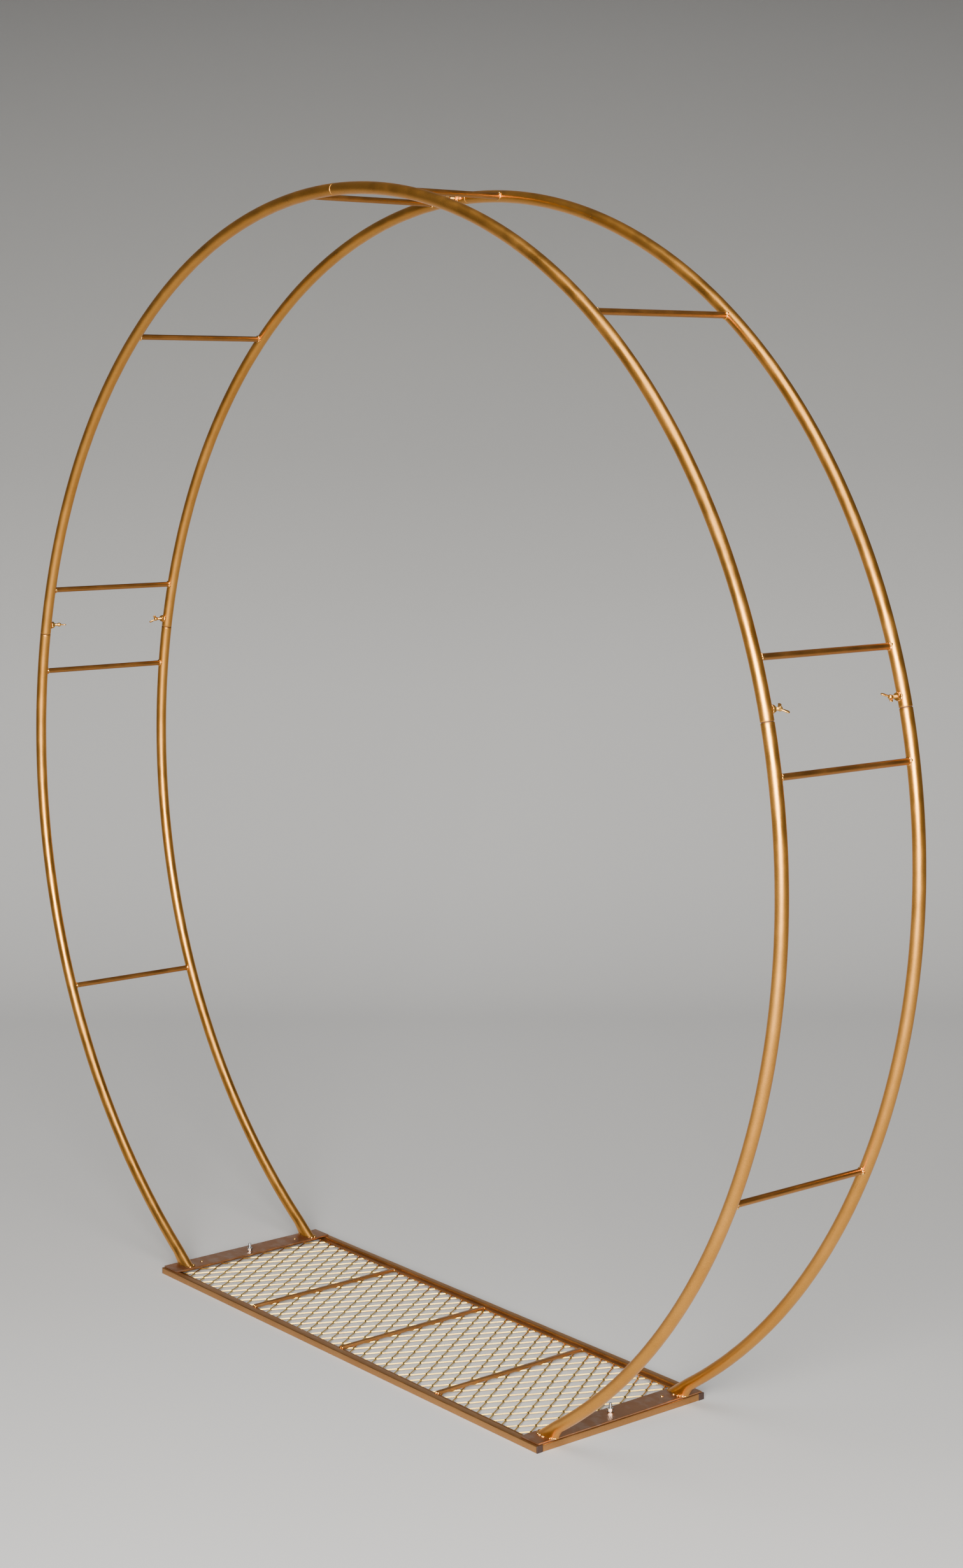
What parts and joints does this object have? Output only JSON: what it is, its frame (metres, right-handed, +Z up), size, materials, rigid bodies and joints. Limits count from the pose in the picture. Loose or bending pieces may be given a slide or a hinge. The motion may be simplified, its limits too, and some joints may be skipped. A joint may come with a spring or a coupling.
{
  "type": "double hoop floral arch stand",
  "caption": "Free-standing arch of two round tube hoops tied by spacers, on a low expanded-mesh base; knock-down joints clamped by wing bolts, for tying flowers to.",
  "frame": {"origin": "on the floor, under the middle of the base", "axes": "+X along the hoops to the right, +Y from the front hoop to the rear hoop, +Z up"},
  "size_m": [2.2636, 0.388, 2.1443],
  "materials": {
    "tube_gold": "satin metallic gold-bronze paint",
    "bolt_gold": "satin metallic gold-bronze paint",
    "rail_bronze": "satin metallic bronze paint",
    "plate_bronze": "satin metallic bronze paint, scuffed",
    "ledge_bronze": "satin metallic bronze paint",
    "mesh_gold": "glossy metallic gold paint",
    "cap_plastic": "matt dark brown",
    "zinc": "bright zinc plate"
  },
  "bodies": {
    "stand": {"front_rail": "rail_bronze", "front_rail_left_cap": "cap_plastic", "front_rail_right_cap": "cap_plastic", "rear_rail": "rail_bronze", "rear_rail_left_cap": "cap_plastic", "rear_rail_right_cap": "cap_plastic", "left_end_rail": "rail_bronze", "right_end_rail": "rail_bronze", "front_ledge": "ledge_bronze", "rear_ledge": "ledge_bronze", "left_ledge": "ledge_bronze", "right_ledge": "ledge_bronze", "mesh_panel": "mesh_gold", "cross_bar_1": "rail_bronze", "cross_bar_2": "rail_bronze", "cross_bar_3": "rail_bronze", "left_foot_plate": "plate_bronze", "left_stud": "zinc", "right_foot_plate": "plate_bronze", "right_stud": "zinc", "lower_left_tube_front": "tube_gold", "upper_left_tube_front": "tube_gold", "lower_left_tube_rear": "tube_gold", "upper_left_tube_rear": "tube_gold", "lower_left_spacer_1": "tube_gold", "lower_left_spacer_2": "tube_gold", "upper_left_spacer_1": "tube_gold", "upper_left_spacer_2": "tube_gold", "upper_left_spacer_3": "tube_gold", "lower_right_tube_front": "tube_gold", "upper_right_tube_front": "tube_gold", "lower_right_tube_rear": "tube_gold", "upper_right_tube_rear": "tube_gold", "lower_right_spacer_1": "tube_gold", "lower_right_spacer_2": "tube_gold", "upper_right_spacer_1": "tube_gold", "upper_right_spacer_2": "tube_gold", "upper_right_spacer_3": "tube_gold", "left_front_wing_bolt_boss": "tube_gold", "left_rear_wing_bolt_boss": "tube_gold", "right_front_wing_bolt_boss": "tube_gold", "right_rear_wing_bolt_boss": "tube_gold", "crown_front_wing_bolt_boss": "tube_gold", "crown_rear_wing_bolt_boss": "tube_gold"},
    "left_front_wing_bolt_screw": {"left_front_wing_bolt_screw": "bolt_gold"},
    "left_front_wing_bolt_head": {"left_front_wing_bolt_head": "bolt_gold"},
    "left_rear_wing_bolt_screw": {"left_rear_wing_bolt_screw": "bolt_gold"},
    "left_rear_wing_bolt_head": {"left_rear_wing_bolt_head": "bolt_gold"},
    "right_front_wing_bolt_screw": {"right_front_wing_bolt_screw": "bolt_gold"},
    "right_front_wing_bolt_head": {"right_front_wing_bolt_head": "bolt_gold"},
    "right_rear_wing_bolt_screw": {"right_rear_wing_bolt_screw": "bolt_gold"},
    "right_rear_wing_bolt_head": {"right_rear_wing_bolt_head": "bolt_gold"},
    "crown_front_wing_bolt_screw": {"crown_front_wing_bolt_screw": "bolt_gold"},
    "crown_front_wing_bolt_head": {"crown_front_wing_bolt_head": "bolt_gold"},
    "crown_rear_wing_bolt_screw": {"crown_rear_wing_bolt_screw": "bolt_gold"},
    "crown_rear_wing_bolt_head": {"crown_rear_wing_bolt_head": "bolt_gold"},
    "left_washer": {"left_washer": "zinc"},
    "left_nut": {"left_nut": "zinc"},
    "right_washer": {"right_washer": "zinc"},
    "right_nut": {"right_nut": "zinc"}
  },
  "joints": [
    {"name": "left_front_wing_bolt_travel", "type": "slide", "parent": "stand", "child": "left_front_wing_bolt_screw", "axis": [0, 1, 0], "range_m": [0, 0.008]},
    {"name": "left_front_wing_bolt_turn", "type": "hinge", "parent": "left_front_wing_bolt_screw", "child": "left_front_wing_bolt_head", "pos_m": [-1.08224, -0.151, 1.30208], "axis": [0, 1, 0], "range_deg": [0, 2881]},
    {"name": "left_rear_wing_bolt_travel", "type": "slide", "parent": "stand", "child": "left_rear_wing_bolt_screw", "axis": [0, -1, 0], "range_m": [0, 0.008]},
    {"name": "left_rear_wing_bolt_turn", "type": "hinge", "parent": "left_rear_wing_bolt_screw", "child": "left_rear_wing_bolt_head", "pos_m": [-1.08224, 0.151, 1.30208], "axis": [0, -1, 0], "range_deg": [0, 2881]},
    {"name": "right_front_wing_bolt_travel", "type": "slide", "parent": "stand", "child": "right_front_wing_bolt_screw", "axis": [0, 1, 0], "range_m": [0, 0.008]},
    {"name": "right_front_wing_bolt_turn", "type": "hinge", "parent": "right_front_wing_bolt_screw", "child": "right_front_wing_bolt_head", "pos_m": [1.08224, -0.151, 1.30208], "axis": [0, 1, 0], "range_deg": [0, 2881]},
    {"name": "right_rear_wing_bolt_travel", "type": "slide", "parent": "stand", "child": "right_rear_wing_bolt_screw", "axis": [0, -1, 0], "range_m": [0, 0.008]},
    {"name": "right_rear_wing_bolt_turn", "type": "hinge", "parent": "right_rear_wing_bolt_screw", "child": "right_rear_wing_bolt_head", "pos_m": [1.08224, 0.151, 1.30208], "axis": [0, -1, 0], "range_deg": [0, 2881]},
    {"name": "crown_front_wing_bolt_travel", "type": "slide", "parent": "stand", "child": "crown_front_wing_bolt_screw", "axis": [0, 1, 0], "range_m": [0, 0.008]},
    {"name": "crown_front_wing_bolt_turn", "type": "hinge", "parent": "crown_front_wing_bolt_screw", "child": "crown_front_wing_bolt_head", "pos_m": [-0.024, -0.151, 2.13344], "axis": [0, 1, 0], "range_deg": [0, 2881]},
    {"name": "crown_rear_wing_bolt_travel", "type": "slide", "parent": "stand", "child": "crown_rear_wing_bolt_screw", "axis": [0, -1, 0], "range_m": [0, 0.008]},
    {"name": "crown_rear_wing_bolt_turn", "type": "hinge", "parent": "crown_rear_wing_bolt_screw", "child": "crown_rear_wing_bolt_head", "pos_m": [-0.024, 0.151, 2.13344], "axis": [0, -1, 0], "range_deg": [0, 2881]},
    {"name": "left_nut_travel", "type": "slide", "parent": "stand", "child": "left_washer", "axis": [0, 0, 1], "range_m": [0, 0.008]},
    {"name": "left_nut_turn", "type": "hinge", "parent": "left_washer", "child": "left_nut", "pos_m": [-0.5685, 0, 0.02], "axis": [0, 0, 1], "range_deg": [0, 2881]},
    {"name": "right_nut_travel", "type": "slide", "parent": "stand", "child": "right_washer", "axis": [0, 0, 1], "range_m": [0, 0.008]},
    {"name": "right_nut_turn", "type": "hinge", "parent": "right_washer", "child": "right_nut", "pos_m": [0.5685, 0, 0.02], "axis": [0, 0, 1], "range_deg": [0, 2881]}
  ],
  "couplings": [
    {"joint": "left_front_wing_bolt_turn", "follows": "left_front_wing_bolt_travel", "rad_per_m": 6283.2},
    {"joint": "left_rear_wing_bolt_turn", "follows": "left_rear_wing_bolt_travel", "rad_per_m": 6283.2},
    {"joint": "right_front_wing_bolt_turn", "follows": "right_front_wing_bolt_travel", "rad_per_m": 6283.2},
    {"joint": "right_rear_wing_bolt_turn", "follows": "right_rear_wing_bolt_travel", "rad_per_m": 6283.2},
    {"joint": "crown_front_wing_bolt_turn", "follows": "crown_front_wing_bolt_travel", "rad_per_m": 6283.2},
    {"joint": "crown_rear_wing_bolt_turn", "follows": "crown_rear_wing_bolt_travel", "rad_per_m": 6283.2},
    {"joint": "left_nut_turn", "follows": "left_nut_travel", "rad_per_m": 6283.2},
    {"joint": "right_nut_turn", "follows": "right_nut_travel", "rad_per_m": 6283.2}
  ]
}
